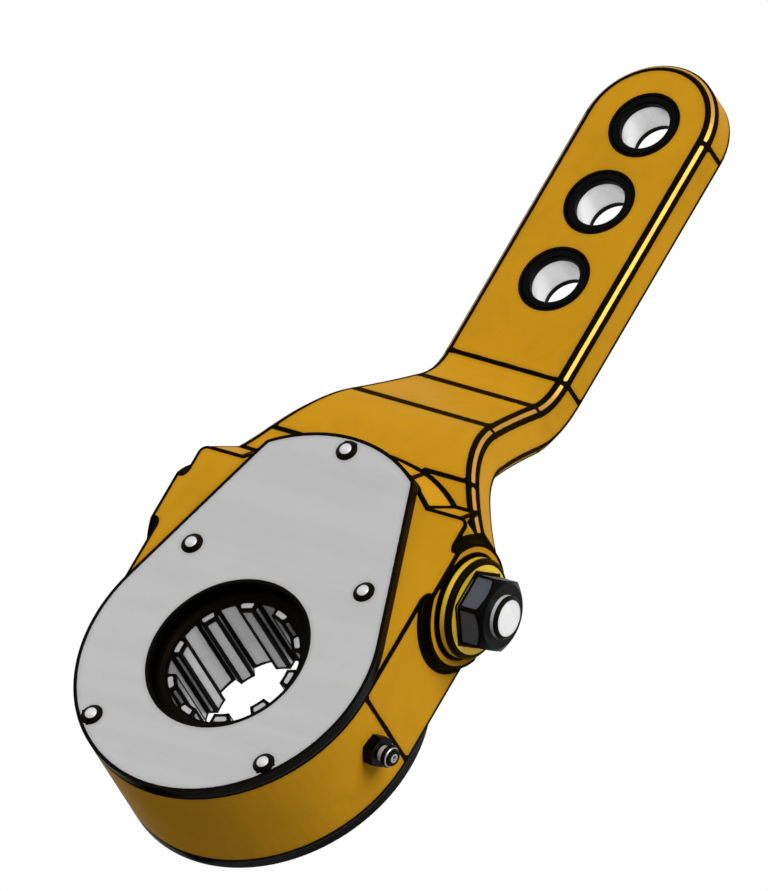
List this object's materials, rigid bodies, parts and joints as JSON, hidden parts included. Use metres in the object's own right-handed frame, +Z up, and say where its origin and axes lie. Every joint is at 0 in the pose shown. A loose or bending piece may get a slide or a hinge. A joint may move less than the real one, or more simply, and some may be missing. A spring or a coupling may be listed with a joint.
{
  "type": "brake slack adjuster",
  "caption": "Manual brake slack adjuster: splined worm-wheel hub, side worm shaft with locking sleeve and hexagon, and a bent lever arm with bushed clevis holes.",
  "frame": {"origin": "on the axis of the splined bore, halfway between the front and rear covers", "axes": "+X along the worm shaft toward its hexagon, +Y from the front cover to the rear cover along the bore, +Z up from the bore toward the clevis holes"},
  "size_m": [0.1069, 0.0567, 0.2674],
  "materials": {
    "gold_paint": "satin golden yellow paint over a casting",
    "plated_cover": "satin grey plated sheet steel",
    "gasket_sheet": "compressed dark fibre sheet",
    "rivet_steel": "bright domed heads",
    "cut_steel": "machined steel, lightly oiled",
    "seal_rubber": "black nitrile rubber",
    "bush_bronze": "turned bronze",
    "yellow_zinc": "yellow passivated zinc plate",
    "dark_hexagon_steel": "dark heat-treated steel",
    "spring_steel": "drawn spring wire",
    "bushing_steel": "ground hardened steel",
    "bright_fitting": "bright plated steel"
  },
  "bodies": {
    "housing": {"body": "gold_paint", "front_cover": "plated_cover", "rear_cover": "plated_cover", "front_gasket": "gasket_sheet", "rear_gasket": "gasket_sheet", "front_cover_rivets": "rivet_steel", "rear_cover_rivets": "rivet_steel", "front_hub_seal": "seal_rubber", "rear_hub_seal": "seal_rubber", "left_thrust_washer": "bush_bronze", "right_thrust_washer": "bush_bronze", "left_shaft_bush": "bush_bronze", "right_shaft_bush": "bush_bronze", "worm_bore_plug": "plated_cover", "lock_spring": "spring_steel", "sleeve_retaining_ring": "spring_steel", "grease_fitting": "bright_fitting", "fitting_spring": "spring_steel", "clevis_bushing_1": "bushing_steel", "clevis_bushing_2": "bushing_steel", "clevis_bushing_3": "bushing_steel"},
    "wheel": {"worm_wheel": "cut_steel"},
    "shaft": {"worm": "cut_steel", "worm_pin": "cut_steel", "worm_shaft": "cut_steel", "shaft_o_ring": "seal_rubber", "adjusting_hexagon": "dark_hexagon_steel"},
    "sleeve": {"lock_sleeve": "yellow_zinc"},
    "ball": {"fitting_ball": "bright_fitting"}
  },
  "joints": [
    {"name": "wheel_spin", "type": "hinge", "parent": "housing", "child": "wheel", "pos_m": [0, 0, 0], "axis": [0, 1, 0], "continuous": true},
    {"name": "worm_spin", "type": "hinge", "parent": "housing", "child": "shaft", "pos_m": [0, 0, 0.0413], "axis": [1, 0, 0], "continuous": true},
    {"name": "sleeve_slide", "type": "slide", "parent": "housing", "child": "sleeve", "axis": [1, 0, 0], "range_m": [0, 0.007], "stiffness_N_per_m": 600, "springref_m": 0.012, "deforming": ["lock_spring"]},
    {"name": "ball_slide", "type": "slide", "parent": "housing", "child": "ball", "axis": [-0.989, 0, 0.1478], "range_m": [0, 0.0006], "stiffness_N_per_m": 300, "springref_m": -0.001, "deforming": ["fitting_spring"]}
  ],
  "couplings": [
    {"joint": "worm_spin", "follows": "wheel_spin", "ratio": -22}
  ]
}
